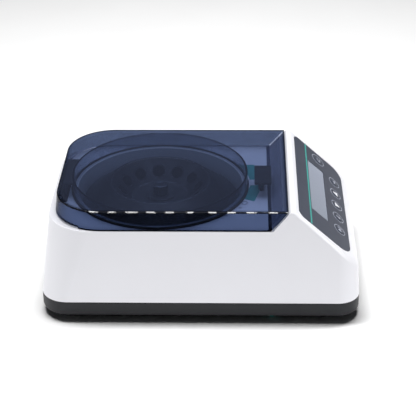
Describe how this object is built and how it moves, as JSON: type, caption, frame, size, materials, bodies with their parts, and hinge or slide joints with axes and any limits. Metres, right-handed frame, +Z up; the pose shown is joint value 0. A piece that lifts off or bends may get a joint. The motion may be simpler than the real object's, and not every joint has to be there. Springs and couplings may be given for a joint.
{
  "type": "mini centrifuge",
  "caption": "Bench mini centrifuge: hinged smoked lid over a spinning fixed-angle tube rotor, sloped keypad with display, lid lock and rear power switch.",
  "frame": {"origin": "centre of the footprint, on the surface that the rubber feet stand on", "axes": "+X towards the user's side with the keypad, -X towards the lid hinge, +Z up"},
  "size_m": [0.267, 0.173, 0.0996],
  "materials": {
    "white_shell": "moulded ABS, fine satin gloss",
    "dark_tray": "moulded ABS, fine grain",
    "chamber_grey": "moulded, smooth",
    "black_rubber": "moulded rubber, matt",
    "black_plastic": "moulded, fine grain",
    "steel": "turned or stamped steel",
    "overlay_film": "printed polyester film, fine matt texture",
    "display_glass": "flat display window",
    "circuit_board": "solder-masked board",
    "teal_plastic": "moulded plug",
    "smoked_lid": "smoked clear polycarbonate, polished",
    "rotor_black": "black polymer, satin",
    "knob_metal": "fluted, dark anodised",
    "rocker_plastic": "moulded, glossy",
    "key_film": "printed key cap, fine matt texture"
  },
  "bodies": {
    "housing": {"upper_housing": "white_shell", "base_tray": "dark_tray", "chamber_bowl": "chamber_grey", "chamber_seal": "black_rubber", "shaft_seal": "black_rubber", "hinge_bracket": "black_plastic", "hinge_pin": "steel", "control_overlay": "overlay_film", "display_window": "display_glass", "display_module": "black_plastic", "control_board": "circuit_board", "motor_body": "steel", "motor_plate": "steel", "rubber_damper_1": "black_rubber", "rubber_damper_2": "black_rubber", "rubber_damper_3": "black_rubber", "power_board": "circuit_board", "lock_housing": "black_plastic", "power_jack": "black_plastic", "switch_frame": "black_plastic", "rubber_foot_1": "black_rubber", "rubber_foot_2": "black_rubber", "rubber_foot_3": "black_rubber", "rubber_foot_4": "black_rubber", "case_screw_1": "steel", "case_screw_2": "steel", "case_screw_3": "steel", "case_screw_4": "steel", "release_plug": "teal_plastic"},
    "lid": {"lid_shell": "smoked_lid", "lid_collar": "smoked_lid", "hinge_leaf": "black_plastic", "latch_hook": "black_plastic"},
    "rotor": {"rotor": "rotor_black", "drive_shaft": "steel"},
    "rotor_knob": {"rotor_knob": "knob_metal"},
    "lock_bolt": {"lock_bolt": "steel"},
    "power_rocker": {"power_rocker": "rocker_plastic"},
    "key_1": {"key_1": "key_film"},
    "key_2": {"key_2": "key_film"},
    "key_3": {"key_3": "key_film"},
    "key_4": {"key_4": "key_film"},
    "key_5": {"key_5": "key_film"},
    "key_6": {"key_6": "key_film"}
  },
  "joints": [
    {"name": "lid_hinge", "type": "hinge", "parent": "housing", "child": "lid", "pos_m": [-0.11868, 0, 0.0866], "axis": [0, -1, 0], "range_deg": [0, 80]},
    {"name": "rotor_spin", "type": "hinge", "parent": "housing", "child": "rotor", "pos_m": [-0.0355, 0, 0.07], "axis": [0, 0, 1], "continuous": true},
    {"name": "knob_turn", "type": "hinge", "parent": "rotor", "child": "rotor_knob", "pos_m": [-0.0355, 0, 0.08], "axis": [0, 0, 1], "range_deg": [0, 720]},
    {"name": "bolt_slide", "type": "slide", "parent": "housing", "child": "lock_bolt", "axis": [-1, 0, 0], "range_m": [0, 0.006], "stiffness_N_per_m": 120},
    {"name": "rocker_tilt", "type": "hinge", "parent": "housing", "child": "power_rocker", "pos_m": [-0.12651, -0.03, 0.04657], "axis": [-0.1094, 0, -0.994], "range_deg": [0, 16]},
    {"name": "key_1_press", "type": "slide", "parent": "housing", "child": "key_1", "axis": [-0.6782, 0, -0.7349], "range_m": [0, 0.0005], "stiffness_N_per_m": 1000},
    {"name": "key_2_press", "type": "slide", "parent": "housing", "child": "key_2", "axis": [-0.6782, 0, -0.7349], "range_m": [0, 0.0005], "stiffness_N_per_m": 1000},
    {"name": "key_3_press", "type": "slide", "parent": "housing", "child": "key_3", "axis": [-0.6782, 0, -0.7349], "range_m": [0, 0.0005], "stiffness_N_per_m": 1000},
    {"name": "key_4_press", "type": "slide", "parent": "housing", "child": "key_4", "axis": [-0.6782, 0, -0.7349], "range_m": [0, 0.0005], "stiffness_N_per_m": 1000},
    {"name": "key_5_press", "type": "slide", "parent": "housing", "child": "key_5", "axis": [-0.6782, 0, -0.7349], "range_m": [0, 0.0005], "stiffness_N_per_m": 1000},
    {"name": "key_6_press", "type": "slide", "parent": "housing", "child": "key_6", "axis": [-0.6782, 0, -0.7349], "range_m": [0, 0.0005], "stiffness_N_per_m": 1000}
  ]
}
